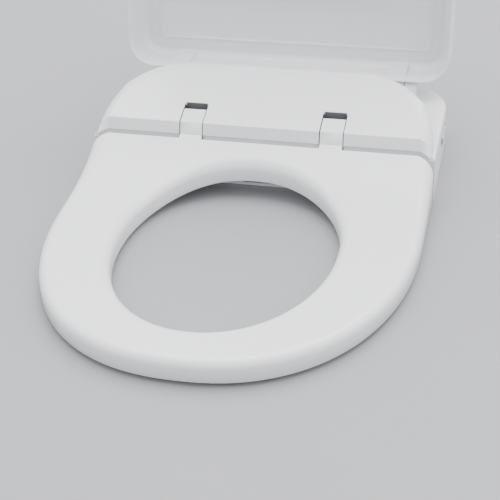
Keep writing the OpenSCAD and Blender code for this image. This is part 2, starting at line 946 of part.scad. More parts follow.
module dryer_heater() {
    color("firebrick")
        for (i = [0 : 3])
            box(duct_x0 + duct_wall, duct_x1 - duct_wall, duct_y + 5 * i, duct_y + 5 * i + 1.5,
                duct_z0 + duct_wall, duct_z1 - duct_wall);
}

flap_t = 1.5;
flap_gap = 0.5;

// Hangs from its top edge in the duct's mouth.
module dryer_flap() {
    z = duct_z1 - flap_t - flap_gap;
    color("white")
        union() {
            rod_x(duct_x0 + flap_gap, duct_x1 - flap_gap, -front_wall + flap_t / 2, z, flap_t / 2);
            box(duct_x0 + flap_gap, duct_x1 - flap_gap, -front_wall, -front_wall + flap_t,
                duct_z0 + flap_gap, z);
        }
}

// ---------- odour filter ----------

module odour_fan_frame() {
    color("darkgray")
        difference() {
            box(fan_x - fan_r - 2.5, fan_x + fan_r + 2.5, fan_y - 6, fan_y + 6,
                tray_t, tray_t + 2 * fan_r + 5);
            rod_y(fan_x, fan_y - 7, fan_y + 4, tray_t + fan_r + 2.5, fan_r + 0.7);
            rod_y(fan_x, fan_y + 3, fan_y + 7, tray_t + fan_r + 2.5, fan_r - 4);
        }
}

module odour_fan_rotor() {
    z = tray_t + fan_r + 2.5;
    color("beige")
        union() {
            rod_y(fan_x, fan_y - 5, fan_y + 2.5, z, 4.5);
            for (i = [0 : 6])
                translate([fan_x, fan_y - 1.5, z])
                    rotate([0, i * 360 / 7, 0])
                        rotate([0, 0, 35])
                            translate([-0.5, -2.5, 3.5])
                                cube([1, 5, fan_r - 4]);
        }
}

tray_wall = 1.5;

module odour_filter_tray() {
    color("white")
        difference() {
            box(-half_w, -half_w + tray_x, tray_y - tray_w / 2 + button_gap,
                tray_y + tray_w / 2 - button_gap, tray_z0 + button_gap,
                tray_z0 + tray_h - button_gap);
            box(-half_w + shell, -half_w + tray_x - tray_wall,
                tray_y - tray_w / 2 + button_gap + tray_wall,
                tray_y + tray_w / 2 - button_gap - tray_wall,
                tray_z0 + button_gap + tray_wall, tray_z0 + tray_h + 1);
        }
}

module odour_filter() {
    color("black")
        box(-half_w + shell + 1, -half_w + tray_x - tray_wall - 1,
            tray_y - tray_w / 2 + tray_wall + 1, tray_y + tray_w / 2 - tray_wall - 1,
            tray_z0 + button_gap + tray_wall, tray_z0 + tray_h - 4);
}

// ---------- water ----------

inlet_len = 15;
inlet_neck_r = 9;
valve_y0 = 76;

module water_inlet() {
    y1 = rear_reach + inlet_len;
    color("white")
        difference() {
            union() {
                rod_y(inlet_x, rear_reach, y1, inlet_z, inlet_r);
                rod_y(inlet_x, rear_reach - 8, rear_reach, inlet_z, inlet_neck_r);
            }
            rod_y(inlet_x, rear_reach - 9, y1 + 1, inlet_z, 6);
        }
}

module inlet_filter() {
    color("steelblue")
        rod_y(inlet_x, rear_reach - 6, rear_reach + inlet_len - 3, inlet_z, 5.5);
}

module inlet_valve() {
    color("dimgray")
        union() {
            box(inlet_x - 13, inlet_x + 13, valve_y0, rear_reach - 8, inlet_z - 14, inlet_z + 14);
            rod_z(inlet_x, valve_y0 + 8, inlet_z + 14, inlet_z + 22, 7);
        }
}

module heater_tank() {
    color("gainsboro")
        union() {
            box(tank_x0, tank_x1, tank_y0, tank_y1, tank_z0, tank_z0 + tank_h);
            box(tank_x0 + 8, tank_x1 - 8, tank_y0 + 6, tank_y1 - 6,
                tank_z0 + tank_h, tank_z0 + tank_h + 4);
        }
}

pump_x0 = -128;
pump_x1 = -78;
pump_y = 58;
pump_z = 22;

module water_pump() {
    color("darkgray")
        union() {
            rod_x(pump_x0, pump_x1, pump_y, pump_z, 15);
            box(pump_x0 + 6, pump_x1 - 6, pump_y - 13, pump_y + 13, tray_t, pump_z);
        }
}

selector_x = -66;

module flow_selector() {
    color("gray")
        union() {
            rod_z(selector_x, 44, tray_t, 26, 11);
            rod_z(selector_x, 44, 26, 38, 8);
        }
}

pipe_r = 3;
pipe_x = [-122, -106];

module water_pipes() {
    color("lightblue")
        union() {
            rod_y(inlet_x, pump_y + 15, valve_y0, pump_z, pipe_r);
            for (x = pipe_x)
                rod_y(x, tank_y1, pump_y - 15, 22, pipe_r);
            rod_x(pump_x1, selector_x - 8, 50, 30, pipe_r);
        }
}

// ---------- electronics ----------

module main_board() {
    color("darkgreen")
        union() {
            box(-46, 72, 36, 80, 6, 7.6);
            for (x = [-36 : 18 : 54])
                box(x, x + 10, 60, 72, 7.6, 13);
            for (x = [-40, -20, 0, 20, 40, 60])
                rod_z(x, 40, tray_t, 6, 2.5);
        }
}

module power_board() {
    color("darkolivegreen")
        union() {
            box(84, 166, 56, 78, 6, 7.6);
            box(90, 116, 58, 76, 7.6, 32);
            box(122, 132, 60, 74, 7.6, 24);
            for (x = [88, 162])
                rod_z(x, 67, tray_t, 6, 2.5);
        }
}

module night_light_lens() {
    color("lightcyan")
        box(-8, 8, -front_wall, -front_wall + 4, 37, 44);
}

// ---------- controls ----------

function button_y(i) = panel_y + (i - (button_count - 1) / 2) * button_pitch;

module control_panel() {
    color("gainsboro")
        difference() {
            box(half_w - 6, half_w, panel_y - panel_len / 2, panel_y + panel_len / 2,
                panel_z - panel_h / 2, panel_z + panel_h / 2);
            for (i = [0 : button_count - 1])
                rod_x(half_w - 3, half_w + 1, button_y(i), panel_z, button_r + button_gap);
        }
}

module button(i) {
    rod_x(half_w - 1.6, half_w + button_proud, button_y(i), panel_z, button_r);
}

module stop_button() {
    color("dimgray")
        button(0);
}

module rear_wash_button() {
    color("white")
        button(1);
}

module front_wash_button() {
    color("white")
        button(2);
}

module dryer_button() {
    color("white")
        button(3);
}

release_r = 7;
release_y = -30;
release_z = 16;
release_len = 16;

module release_button() {
    color("white")
        union() {
            rod_x(half_w - release_len, half_w, release_y, release_z, release_r);
            rod_x(half_w - release_len - 1.5, half_w - release_len, release_y, release_z,
                release_r + 1.5);
        }
}

module release_spring() {
    color("silver")
        difference() {
            rod_x(half_w - release_len - 12, half_w - release_len - 5, release_y, release_z, 5);
            rod_x(half_w - release_len - 13, half_w, release_y, release_z, 4);
        }
}

module cable_gland() {
    color("lightgray")
        difference() {
            union() {
                rod_y(gland_x, rear_reach, rear_reach + 6, inlet_z, gland_r + 2);
                rod_y(gland_x, rear_reach - 5, rear_reach, inlet_z, gland_r - 1);
            }
            rod_y(gland_x, rear_reach - 6, rear_reach + 7, inlet_z, 4);
        }
}

seat_top_shell();
seat_bottom_shell();
seat_heating_wire();
seat_buffers();
seat_occupancy_sensor();
seat_hinge_pins();
lid_outer_shell();
lid_inner_panel();
lid_buffers();
lid_hinge_pins();
hood();
lower_cover();
base_tray();
mounting_plate();
housing_screws();
seat_hinge_bracket_left();
seat_hinge_bracket_right();
seat_dampers();
lid_hinge_brackets();
lid_dampers();
nozzle_cradle();
rear_wash_nozzle();
rear_wash_tip();
front_wash_nozzle();
front_wash_tip();
rear_nozzle_motor();
front_nozzle_motor();
rear_nozzle_pinion();
front_nozzle_pinion();
blower_casing();
blower_impeller();
blower_motor();
dryer_duct();
dryer_heater();
dryer_flap();
odour_fan_frame();
odour_fan_rotor();
odour_filter_tray();
odour_filter();
water_inlet();
inlet_filter();
inlet_valve();
heater_tank();
water_pump();
flow_selector();
water_pipes();
main_board();
power_board();
night_light_lens();
control_panel();
stop_button();
rear_wash_button();
front_wash_button();
dryer_button();
release_button();
release_spring();
cable_gland();
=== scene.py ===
import json
import math

import bmesh
import bpy
from bpy.props import FloatProperty, FloatVectorProperty, PointerProperty
from bpy.types import Operator, Panel, PropertyGroup
from mathutils import Matrix, Vector


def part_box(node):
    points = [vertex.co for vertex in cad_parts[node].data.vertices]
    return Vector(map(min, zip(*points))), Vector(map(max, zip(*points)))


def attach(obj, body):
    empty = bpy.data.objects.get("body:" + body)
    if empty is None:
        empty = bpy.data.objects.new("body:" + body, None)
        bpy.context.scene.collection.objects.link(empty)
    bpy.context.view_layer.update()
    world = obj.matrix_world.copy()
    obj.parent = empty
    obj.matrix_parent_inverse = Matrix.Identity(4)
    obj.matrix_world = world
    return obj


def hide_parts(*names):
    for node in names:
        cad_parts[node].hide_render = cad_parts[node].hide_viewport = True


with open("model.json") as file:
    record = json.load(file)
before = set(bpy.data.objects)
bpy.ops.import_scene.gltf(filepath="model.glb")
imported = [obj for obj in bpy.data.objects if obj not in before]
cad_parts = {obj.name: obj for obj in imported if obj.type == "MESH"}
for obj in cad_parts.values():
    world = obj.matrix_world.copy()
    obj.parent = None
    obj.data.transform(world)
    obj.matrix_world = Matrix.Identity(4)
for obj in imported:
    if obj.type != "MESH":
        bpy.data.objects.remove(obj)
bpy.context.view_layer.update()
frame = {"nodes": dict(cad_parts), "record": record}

bl_info = {
    "name": "Electric Bidet Seat",
    "version": (1, 0, 0),
    "blender": (4, 5, 0),
    "location": "3D View > Sidebar > Bidet Seat",
    "description": "Builds the moulded shells, controls and finishes of an electric bidet seat",
    "category": "Object",
}


def length(name, default, description):
    """A size in metres, given in millimetres."""
    return FloatProperty(name=name, default=default / 1000, description=description,
                         unit="LENGTH", subtype="DISTANCE", precision=5)


def colour(name, default, description):
    return FloatVectorProperty(name=name, default=default, description=description,
                               subtype="COLOR", size=3, min=0, max=1)


class BidetSeatSizes(PropertyGroup):
    half_width: length("Half width", 190, "Half of the seat's width")
    front_reach: length("Front reach", 436, "Fixing slots forward to the front tip")
    wide_line: length("Wide line", 191, "Fixing slots forward to where the sides start to curve")
    front_power: FloatProperty(name="Front squareness", default=2.25,
                               description="Power of the front curve, 2 is an ellipse")
    ring_rear: length("Ring rear", 86.5, "Fixing slots forward to the ring's rear edge")
    ring_top: length("Ring top", 26, "Height of the flat part of the ring's top face")
    ring_thickness: length("Ring thickness", 22, "Top face to underside")
    rise_power: FloatProperty(name="Rise power", default=2.5,
                              description="How late the ring's rise comes, 2 is a parabola")
    ring_rise: length("Ring rise", 29, "How far the top face rises to its rear edge")
    rise_length: length("Rise length", 129, "Length over which the top face rises")
    outer_round: length("Outer rounding", 9, "Radius of the ring's outer top edge")
    inner_round: length("Inner rounding", 9, "Radius of the ring's inner top edge")
    hole_half: length("Opening half width", 111.5, "Half of the opening's width")
    hole_mid: length("Opening middle", 238, "Fixing slots forward to the opening's widest line")
    hole_front: length("Opening front", 149, "Opening length in front of its widest line")
    hole_back: length("Opening back", 126, "Opening length behind its widest line")
    ear_x: length("Ear spacing", 78, "Middle of the seat to the centre of a hinge ear")
    ear_width: length("Ear width", 25, "Width of a hinge ear")
    ear_slit: length("Ear slit", 1, "Gap on each side of an ear")
    seat_axis_fwd: length("Seat axis forward", 62, "Fixing slots forward to the seat's hinge axis")
    seat_axis_z: length("Seat axis height", 66, "Height of the seat's hinge axis")
    hood_half: length("Hood half width", 186.5, "Half of the hood's width")
    hood_front: length("Hood front", 84, "Fixing slots forward to the hood's front")
    hood_back: length("Hood back", 15, "Fixing slots back to the hood's rear")
    hood_corner: length("Hood corner", 90, "Corner radius of the hood in plan")
    hood_top: length("Hood top", 103, "Highest point of the hood")
    deck: length("Deck height", 50, "Height of the deck that carries the hood")
    strip_height: length("Strip height", 20, "Height of the hood's front strip")
    strip_lean: length("Strip lean", 6, "How far the front strip leans back")
    strip_lip: length("Strip lip", 6.5, "Height of the front strip's lower edge over the deck")
    shoulder: length("Shoulder", 14, "Width of the hood's rounded shoulders")
    nose: length("Shoulder nose", 10, "How far the shoulders reach over the ring's rear corners")
    shoulder_front: length("Shoulder drop", 20, "Fall of the shoulders beside the strip")
    shoulder_rear: length("Rear shoulder drop", 6, "Fall of the shoulders at the hood's rear")
    wall: length("Shell wall", 2.5, "Wall thickness of the housing shells")
    rear_reach: length("Rear reach", 100, "Fixing slots back to the housing's rear")
    rear_corner: length("Rear corner", 60, "Corner radius of the housing in plan")
    tray: length("Tray thickness", 3, "Thickness of the base tray")
    lid_axis_y: length("Lid axis back", 58, "Fixing slots back to the lid's hinge axis")
    lid_axis_z: length("Lid axis height", 62, "Height of the lid's hinge axis")
    lid_open: FloatProperty(name="Lid angle", default=math.radians(100), subtype="ANGLE",
                            description="Angle between the closed and the open lid")
    lid_tip: length("Lid tip height", 46, "Height of the closed lid at its tip")
    lid_top: length("Lid top height", 108, "Height of the closed lid over the hood")
    lid_rear: length("Lid rear", 48, "Fixing slots back to the closed lid's rear edge")
    lid_corner: length("Lid corner", 30, "Radius of the lid's rear corners")
    lid_wall: length("Lid wall", 3, "Wall thickness of the lid")


class BidetSeatFinishes(PropertyGroup):
    white: colour("White", (0.80, 0.80, 0.81), "Gloss white of the shells")
    satin: colour("Satin white", (0.76, 0.76, 0.77), "Satin white of undersides")
    grey: colour("Grey", (0.30, 0.31, 0.32), "Technical parts")
    dark: colour("Dark", (0.035, 0.035, 0.04), "Dampers and motors")
    bumper: colour("Buffer", (0.52, 0.52, 0.53), "Rubber buffers")
    keypad: colour("Keypad", (0.36, 0.37, 0.38), "Control panel")
    glow: colour("Night light", (0.62, 0.52, 1.0), "Night light")


# Sizes in metres that follow from the design and aren't meant to be changed.
HUB = 0.0075             # radius of an ear's round end
SHOULDER_RUN = 0.035     # length of the ring's sides that gives way to the shoulders
SHOULDER_CURVE = 1.15    # how late the shoulders reach forward, 1 is straight
RIM_GAP = 0.002          # air under the closed lid's rim
LINING = 0.0095          # depth of the lining under the lid's top
LID_ARM_X = 0.130        # centre of a lid arm from the middle
TO_SIDE = Matrix.Rotation(math.pi / 2, 4, "Y")


# ---------------------------------------------------------------- finishes


def link(tree, source, target):
    tree.links.new(source, target)


def moulded(name, base, rough, grain=1400.0, depth=0.04, coat=0.0, metal=0.0, mottle=0.03):
    """Moulded surface: fine grain in the bump, slow drift in colour and gloss."""
    mat = bpy.data.materials.get(f"{name}_finish")
    if mat:
        return mat
    mat = bpy.data.materials.new(f"{name}_finish")
    mat.use_nodes = True
    tree = mat.node_tree
    shader = tree.nodes["Principled BSDF"]
    place = tree.nodes.new("ShaderNodeTexCoord")
    place.name = "place"
    drift = tree.nodes.new("ShaderNodeTexNoise")
    drift.inputs["Scale"].default_value = 9.0
    drift.inputs["Detail"].default_value = 3.0
    tint = tree.nodes.new("ShaderNodeMix")
    tint.data_type = "RGBA"
    tint.inputs["A"].default_value = (*[c * (1 - mottle) for c in base], 1)
    tint.inputs["B"].default_value = (*[min(1, c * (1 + mottle)) for c in base], 1)
    gloss = tree.nodes.new("ShaderNodeMapRange")
    gloss.inputs["To Min"].default_value = rough * 0.85
    gloss.inputs["To Max"].default_value = rough * 1.2
    speck = tree.nodes.new("ShaderNodeTexNoise")
    speck.name = "speck"
    speck.inputs["Scale"].default_value = grain
    speck.inputs["Detail"].default_value = 4.0
    bump = tree.nodes.new("ShaderNodeBump")
    bump.inputs["Strength"].default_value = depth
    bump.inputs["Distance"].default_value = 0.0004
    link(tree, place.outputs["Object"], drift.inputs["Vector"])
    link(tree, place.outputs["Object"], speck.inputs["Vector"])
    link(tree, drift.outputs["Fac"], tint.inputs["Factor"])
    link(tree, drift.outputs["Fac"], gloss.inputs["Value"])
    link(tree, speck.outputs["Fac"], bump.inputs["Height"])
    link(tree, tint.outputs["Result"], shader.inputs["Base Color"])
    link(tree, gloss.outputs["Result"], shader.inputs["Roughness"])
    link(tree, bump.outputs["Normal"], shader.inputs["Normal"])
    shader.inputs["Metallic"].default_value = metal
    shader.inputs["Coat Weight"].default_value = coat
    shader.inputs["Coat Roughness"].default_value = 0.12
    return mat


def brushed(name, base, rough, axis_scale):
    """Metal with fine lines drawn along one direction."""
    mat = moulded(name, base, rough, metal=1.0, mottle=0.05)
    tree = mat.node_tree
    if "lines" not in tree.nodes:
        place = tree.nodes["place"]
        stretch = tree.nodes.new("ShaderNodeMapping")
        stretch.name = "lines"
        stretch.inputs["Scale"].default_value = axis_scale
        speck = tree.nodes["speck"]
        speck.inputs["Scale"].default_value = 40.0
        link(tree, place.outputs["Object"], stretch.inputs["Vector"])
        link(tree, stretch.outputs["Vector"], speck.inputs["Vector"])
    return mat


def glowing(name, base, glow):
    mat = moulded(name, base, 0.25, coat=0.3)
    shader = mat.node_tree.nodes["Principled BSDF"]
    shader.inputs["Emission Color"].default_value = (*glow, 1)
    shader.inputs["Emission Strength"].default_value = 3.0
    return mat


def white_gloss():
    return moulded("white_gloss", finish().white, 0.30, coat=0.25, depth=0.03, mottle=0.012)


def white_satin():
    return moulded("white_satin", finish().satin, 0.48, grain=2200, depth=0.12, mottle=0.02)


def rubber():
    return moulded("buffer_rubber", finish().bumper, 0.62, grain=3000, depth=0.2, mottle=0.05)


def keypad_grey():
    return moulded("panel_grey", finish().keypad, 0.32, coat=0.4, depth=0.02)


def dark_plastic():
    return moulded("dark_plastic", finish().dark, 0.42, depth=0.1)


def sizes():
    return bpy.context.scene.bidet_seat_sizes


def finish():
    return bpy.context.scene.bidet_seat_finishes


# ---------------------------------------------------------------- mesh making


def object_from(name, verts, faces, mat, smooth=40.0):
    """Mesh object with merged points, outward faces and soft shading below an angle."""
    mesh = bpy.data.meshes.new(name)
    mesh.from_pydata([tuple(v) for v in verts], [], faces)
    obj = bpy.data.objects.new(name, mesh)
    bpy.context.scene.collection.objects.link(obj)
    mesh.materials.append(mat)
    tidy(obj, smooth)
    return obj


def tidy(obj, smooth=40.0):
    work = bmesh.new()
    work.from_mesh(obj.data)
    bmesh.ops.remove_doubles(work, verts=work.verts, dist=2e-6)
    bmesh.ops.dissolve_degenerate(work, edges=work.edges, dist=1e-7)
    bmesh.ops.recalc_face_normals(work, faces=work.faces)
    for face in work.faces:
        face.smooth = True
    limit = math.radians(smooth)
    for edge in work.edges:
        edge.smooth = edge.calc_face_angle(0) < limit if len(edge.link_faces) == 2 else True
    work.to_mesh(obj.data)
    work.free()


def settle(obj):
    """Applies the object's modifiers to its mesh."""
    graph = bpy.context.evaluated_depsgraph_get()
    made = bpy.data.meshes.new_from_object(obj.evaluated_get(graph))
    obj.modifiers.clear()
    old = obj.data
    obj.data = made
    bpy.data.meshes.remove(old)


def rounded(obj, width, segments=3, angle=35.0):
    """Rounds the sharp edges and evens out the shading beside them."""
    edge = obj.modifiers.new("Rounding", "BEVEL")
    edge.width = width
    edge.segments = segments
    edge.limit_method = "ANGLE"
    edge.angle_limit = math.radians(angle)
    edge.use_clamp_overlap = True
    settle(obj)
    for face in obj.data.polygons:
        face.use_smooth = True
    obj.modifiers.new("Shading", "WEIGHTED_NORMAL").keep_sharp = True
    settle(obj)


def loft(loops, closed=True, cap_first=False, cap_last=False):
    """Points and faces of a skin over loops that have the same number of points."""
    count = len(loops[0])
    verts = [p for loop in loops for p in loop]
    faces = []
    last = count if closed else count - 1
    for row in range(len(loops) - 1):
        for i in range(last):
            j = (i + 1) % count
            faces.append((row * count + i, row * count + j,
                          (row + 1) * count + j, (row + 1) * count + i))
    if cap_first:
        faces.append(tuple(range(count - 1, -1, -1)))
    if cap_last:
        faces.append(tuple(range((len(loops) - 1) * count, len(loops) * count)))
    return verts, faces


def prism(points, width, x):
    """Side-view outline of (y, z) points carried across a width centred on x."""
    near = [(x - width / 2, y, z) for y, z in points]
    far = [(x + width / 2, y, z) for y, z in points]
    return loft([near, far], cap_first=True, cap_last=True)


def slab(points, z0, z1):
    """Plan outline of (x, y) points carried from z0 to z1."""
    return loft([[(x, y, z0) for x, y in points], [(x, y, z1) for x, y in points]],
                cap_first=True, cap_last=True)


def block(x0, x1, y0, y1, z0, z1):
    return slab([(x0, y0), (x1, y0), (x1, y1), (x0, y1)], z0, z1)


def turned(profile, steps=48):
    """Round piece about the local Z axis from (radius, height) pairs."""
    loops = [[(r * math.cos(a), r * math.sin(a), z)
              for a in (i * math.tau / steps for i in range(steps))] for r, z in profile]
    return loft(loops, cap_first=True, cap_last=True)


def joined(parts):
    verts, faces = [], []
    for part_verts, part_faces in parts:
        base = len(verts)
        verts += part_verts
        faces += [tuple(i + base for i in f) for f in part_faces]
    return verts, faces


def moved(part, matrix):
    return [matrix @ Vector(v) for v in part[0]], part[1]


def cut(obj, parts):
    """Cuts closed parts out of a closed object, one after another."""
    for part in parts:
        tool = object_from("cutting_tool", *part, obj.data.materials[0])
        step = obj.modifiers.new("Cut", "BOOLEAN")
        step.operation = "DIFFERENCE"
        step.solver = "MANIFOLD"
        step.object = tool
        settle(obj)
        bpy.data.objects.remove(tool)
        if not obj.data.polygons:
            raise RuntimeError(f"nothing is left of {obj.name} after a cut")


def shown(obj, body, slot, *nodes):
    """Parents a finished piece to its body's empty and hides the CAD nodes it stands in for."""
    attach(obj, body)
    if nodes:
        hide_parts(*nodes)
    return obj


# ---------------------------------------------------------------- outlines


def shaped(value, power):
    return math.copysign(abs(value) ** power, value)


def normals(points):
    """Outward normals of a closed plan outline that runs anticlockwise."""
    made = []
    for i, here in enumerate(points):
        before, after = points[i - 1], points[(i + 1) % len(points)]
        a = Vector((here[0] - before[0], here[1] - before[1]))
        b = Vector((after[0] - here[0], after[1] - here[1]))
        along = (a.normalized() if a.length > 1e-9 else a) + (b.normalized() if b.length > 1e-9 else b)
        along.normalize()
        made.append((along.y, -along.x))
    return made


def even(points, spacing):
    """Adds points to the long straight runs of a closed outline."""
    made = []
    for i, a in enumerate(points):
        b = points[(i + 1) % len(points)]
        gap = math.dist(a, b)
        count = max(1, round(gap / spacing))
        made += [between(a, b, k / count) for k in range(count)]
    return made


def arc(cx, cy, radius, start, stop, steps):
    return [(cx + radius * math.cos(math.radians(start + (stop - start) * i / steps)),
             cy + radius * math.sin(math.radians(start + (stop - start) * i / steps)))
            for i in range(steps + 1)]


def u_outline(s, rear_y, corner):
    """U-shaped outline, anticlockwise from the right rear corner."""
    w = s.half_width
    front = [(w * shaped(math.cos(t), 2 / s.front_power),
              -s.wide_line - (s.front_reach - s.wide_line) * shaped(math.sin(t), 2 / s.front_power))
             for t in (math.radians(180 - a * 2) for a in range(91))]
    points = (arc(w - corner, rear_y - corner, corner, 0, 90, 8)
              + arc(corner - w, rear_y - corner, corner, 90, 180, 8) + front)
    return even(points, 0.008)


def between(a, b, f):
    """Plan point at a share f of the way from a to b."""
    return a[0] + (b[0] - a[0]) * f, a[1] + (b[1] - a[1]) * f


def inset(points, lines, amount):
    """Moves an outline inwards, by one amount or by one for each point."""
    if not hasattr(amount, "__len__"):
        amount = [amount] * len(points)
    return [(p[0] - n[0] * a, p[1] - n[1] * a) for p, n, a in zip(points, lines, amount)]


def hole_at(s, towards, grow=0.0):
    """Point of the opening's outline, grown, that lies in the direction of another point."""
    dense = []
    for i in range(721):
        t = math.radians(i / 2)
        front = math.sin(t) < 0
        reach = (s.hole_front if front else s.hole_back) + grow
        power = 2 / (2.05 if front else 2.2)
        dense.append(((s.hole_half + grow) * shaped(math.cos(t), power),
                      reach * shaped(math.sin(t), power)))
    angles = [math.atan2(y, x) % math.tau for x, y in dense]
    angles[-1] = math.tau
    made = []
    for x, y in towards:
        a = math.atan2(y + s.hole_mid, x) % math.tau
        k = next((i for i in range(720) if angles[i] <= a <= angles[i + 1]), 0)
        span = angles[k + 1] - angles[k]
        f = (a - angles[k]) / span if span > 1e-9 else 0
        at = between(dense[k], dense[k + 1], f)
        made.append((at[0], at[1] - s.hole_mid))
    return made


def nose_reach(s, from_side):
    """How far the hood's shoulders reach forward beside the strip."""
    width = s.shoulder + s.half_width - s.hood_half
    return s.nose * max(0.0, 1 - from_side / width) ** SHOULDER_CURVE


def ring_height(s, y):
    start = -s.ring_rear - s.rise_length
    return s.ring_top + s.ring_rise * max(0.0, (y - start) / s.rise_length) ** s.rise_power


def hood_height(s, y):
    """Top of the hood: the leaning front strip, then the long slope."""
    strip_top = s.deck + s.strip_height
    front = -s.hood_front
    fold = front + s.strip_lean
    if y < fold:
        return s.deck + s.strip_height * (y - front) / s.strip_lean
    t = (y - fold) / (s.hood_back - fold)
    return strip_top + (s.hood_top - strip_top) * (0.9 * t + 0.1 * t * t)


def lid_height(s, y):
    t = min(1.0, max(0.0, (y + s.front_reach) / (s.front_reach + s.hood_back)))
    return s.lid_tip + (s.lid_top - s.lid_tip) * math.sin(math.pi / 2 * t)


def rim_height(s, y):
    return (ring_height(s, y) if y < -s.ring_rear else s.deck) + RIM_GAP


def opened(s):
    """Turns a lid that is drawn closed to its open place."""
    axis = Vector((0, s.lid_axis_y, s.lid_axis_z))
    return Matrix.Translation(axis) @ Matrix.Rotation(-s.lid_open, 4, "X") @ Matrix.Translation(-axis)


def blend_step(value, low, high):
    t = min(1.0, max(0.0, (value - low) / (high - low)))
    return t * t * (3 - 2 * t)


# ---------------------------------------------------------------- ring


def ring_outline(s):
    """Outline of the ring, its rear corners cut back to clear the hood's shoulders."""
    start = -s.ring_rear - SHOULDER_RUN
    made = []
    for x, y in even(u_outline(s, -s.ring_rear, 0.0015), 0.003):
        if abs(x) > s.half_width - 0.0001 and y > start:
            y = start + (y - start) * (1 - s.nose / SHOULDER_RUN)
        elif y > start:
            y -= nose_reach(s, s.half_width - abs(x))
        made.append((x, y))
    return made


def side_fall(s, x, y):
    """Fall of the ring's top face beside its long straight sides."""
    if y < -s.wide_line:
        return 0.0
    q = side_round(s, y)
    t = max(0.0, 1 - (s.half_width - abs(x)) / q)
    return q * (1 - math.sqrt(max(0.0, 1 - t * t)))


def side_round(s, y):
    return s.outer_round + 0.005 * blend_step(y, -0.19, -s.ring_rear)


def make_ring():
    s = sizes()
    outline = ring_outline(s)
    lines = normals(outline)
    rear = [blend_step(n[1], 0.15, 0.6) if p[1] > -s.ring_rear - 0.03 else 0.0
            for p, n in zip(outline, lines)]
    under = s.ring_top - s.ring_thickness

    def foot(p, r):
        return under * (1 - r) + (ring_height(s, p[1]) - s.ring_thickness) * r

    def top(x, y, fall):
        return ring_height(s, y) - max(fall, side_fall(s, x, y))

    round_at = [side_round(s, p[1]) * (1 - r) + 0.0018 * r for p, r in zip(outline, rear)]
    loops = []
    skirt = inset(outline, lines, 0.003)
    loops.append([(x, y, foot((x, y), r) + 0.008) for (x, y), r in zip(skirt, rear)])
    loops.append([(x, y, foot((x, y), r)) for (x, y), r in zip(skirt, rear)])
    nearly = inset(outline, lines, 0.0006)
    loops.append([(x, y, foot((x, y), r)) for (x, y), r in zip(nearly, rear)])
    loops.append([(x, y, foot((x, y), r) + 0.0008) for (x, y), r in zip(outline, rear)])
    steps = 9
    for k in range(steps + 1):
        a = math.pi / 2 * k / steps
        at = inset(outline, lines, [q * (1 - math.cos(a)) for q in round_at])
        loops.append([(x, y, top(x, y, q * (1 - math.sin(a)))) for (x, y), q in zip(at, round_at)])
    flat = inset(outline, lines, round_at)
    inner = hole_at(s, outline, s.inner_round)
    for f in (0.03, 0.07, 0.12, 0.18, 0.26, 0.38, 0.52, 0.68, 0.84, 1.0):
        at = [between(a, b, f) for a, b in zip(flat, inner)]
        loops.append([(x, y, top(x, y, 0)) for x, y in at])
    for k in range(1, steps + 1):
        a = math.pi / 2 * k / steps
        at = hole_at(s, outline, s.inner_round * (1 - math.sin(a)))
        loops.append([(x, y, ring_height(s, y) - s.inner_round * (1 - math.cos(a))) for x, y in at])
    edge = hole_at(s, outline)
    loops.append([(x, y, ring_height(s, y) - s.ring_thickness + 0.002) for x, y in edge])
    curl = hole_at(s, outline, 0.0008)
    loops.append([(x, y, ring_height(s, y) - s.ring_thickness) for x, y in curl])
    lip = hole_at(s, outline, 0.003)
    loops.append([(x, y, ring_height(s, y) - s.ring_thickness) for x, y in lip])
    loops.append([(x, y, ring_height(s, y) - s.ring_thickness + 0.008) for x, y in lip])
    ring = object_from("ring_cover", *loft(loops), white_gloss(), smooth=50)
    shown(ring, "seat", "white_gloss", "seat_top_shell")


def ear_points(s):
    start = -s.ring_rear - 0.012
    axis = -s.seat_axis_fwd
    strip_top = s.deck + s.strip_height
    fold = -s.hood_front + s.strip_lean
    end = axis + HUB
    rear_z = ring_height(s, -s.ring_rear)
    crown = hood_height(s, axis + 0.003)
    return [(start, ring_height(s, start) - 0.0005), (-s.ring_rear + 0.001, rear_z + 0.0008),
            (-s.hood_front + 0.0015, s.deck + s.strip_lip),
            (fold - 0.0002, strip_top - 0.0006), (fold + 0.0003, strip_top + 0.0001),
            (fold + 0.012, hood_height(s, fold + 0.012)), (axis + 0.003, crown),
            (end - 0.001, crown - 0.0015), (end, crown - 0.004),
            (end, s.seat_axis_z), (end - 0.004, s.seat_axis_z - 0.0065), (axis, s.seat_axis_z - HUB),
            (axis - 0.005, s.seat_axis_z - 0.0055), (axis - HUB, s.seat_axis_z),
            (fold + 0.004, strip_top - 0.010), (-s.ring_rear - 0.001, s.deck - 0.010),
            (start, ring_height(s, start) - 0.008)]


def make_ears():
    s = sizes()
    ears = object_from("hinge_ears", *joined([prism(ear_points(s), s.ear_width, side * s.ear_x)
                                              for side in (-1, 1)]), white_gloss(), smooth=30)
    rounded(ears, 0.0012)
    shown(ears, "seat", "white_gloss", "seat_top_shell")


# ---------------------------------------------------------------- housing


def ear_slots(s, low):
    """Cutting parts for the two slots, rounded at the rear."""
    half = s.ear_width / 2 + s.ear_slit
    back, r = slot_back(s), 0.0028
    made = []
    for side in (-1, 1):
        x = side * s.ear_x
        plan = ([(x - half, -s.hood_front - 0.006), (x + half, -s.hood_front - 0.006)]
                + arc(x + half - r, back - r, r, 0, 90, 5) + arc(x - half + r, back - r, r, 90, 180, 5))
        made.append(slab(plan, low, 0.2))
    return made


def slot_back(s):
    return -s.seat_axis_fwd + 0.013


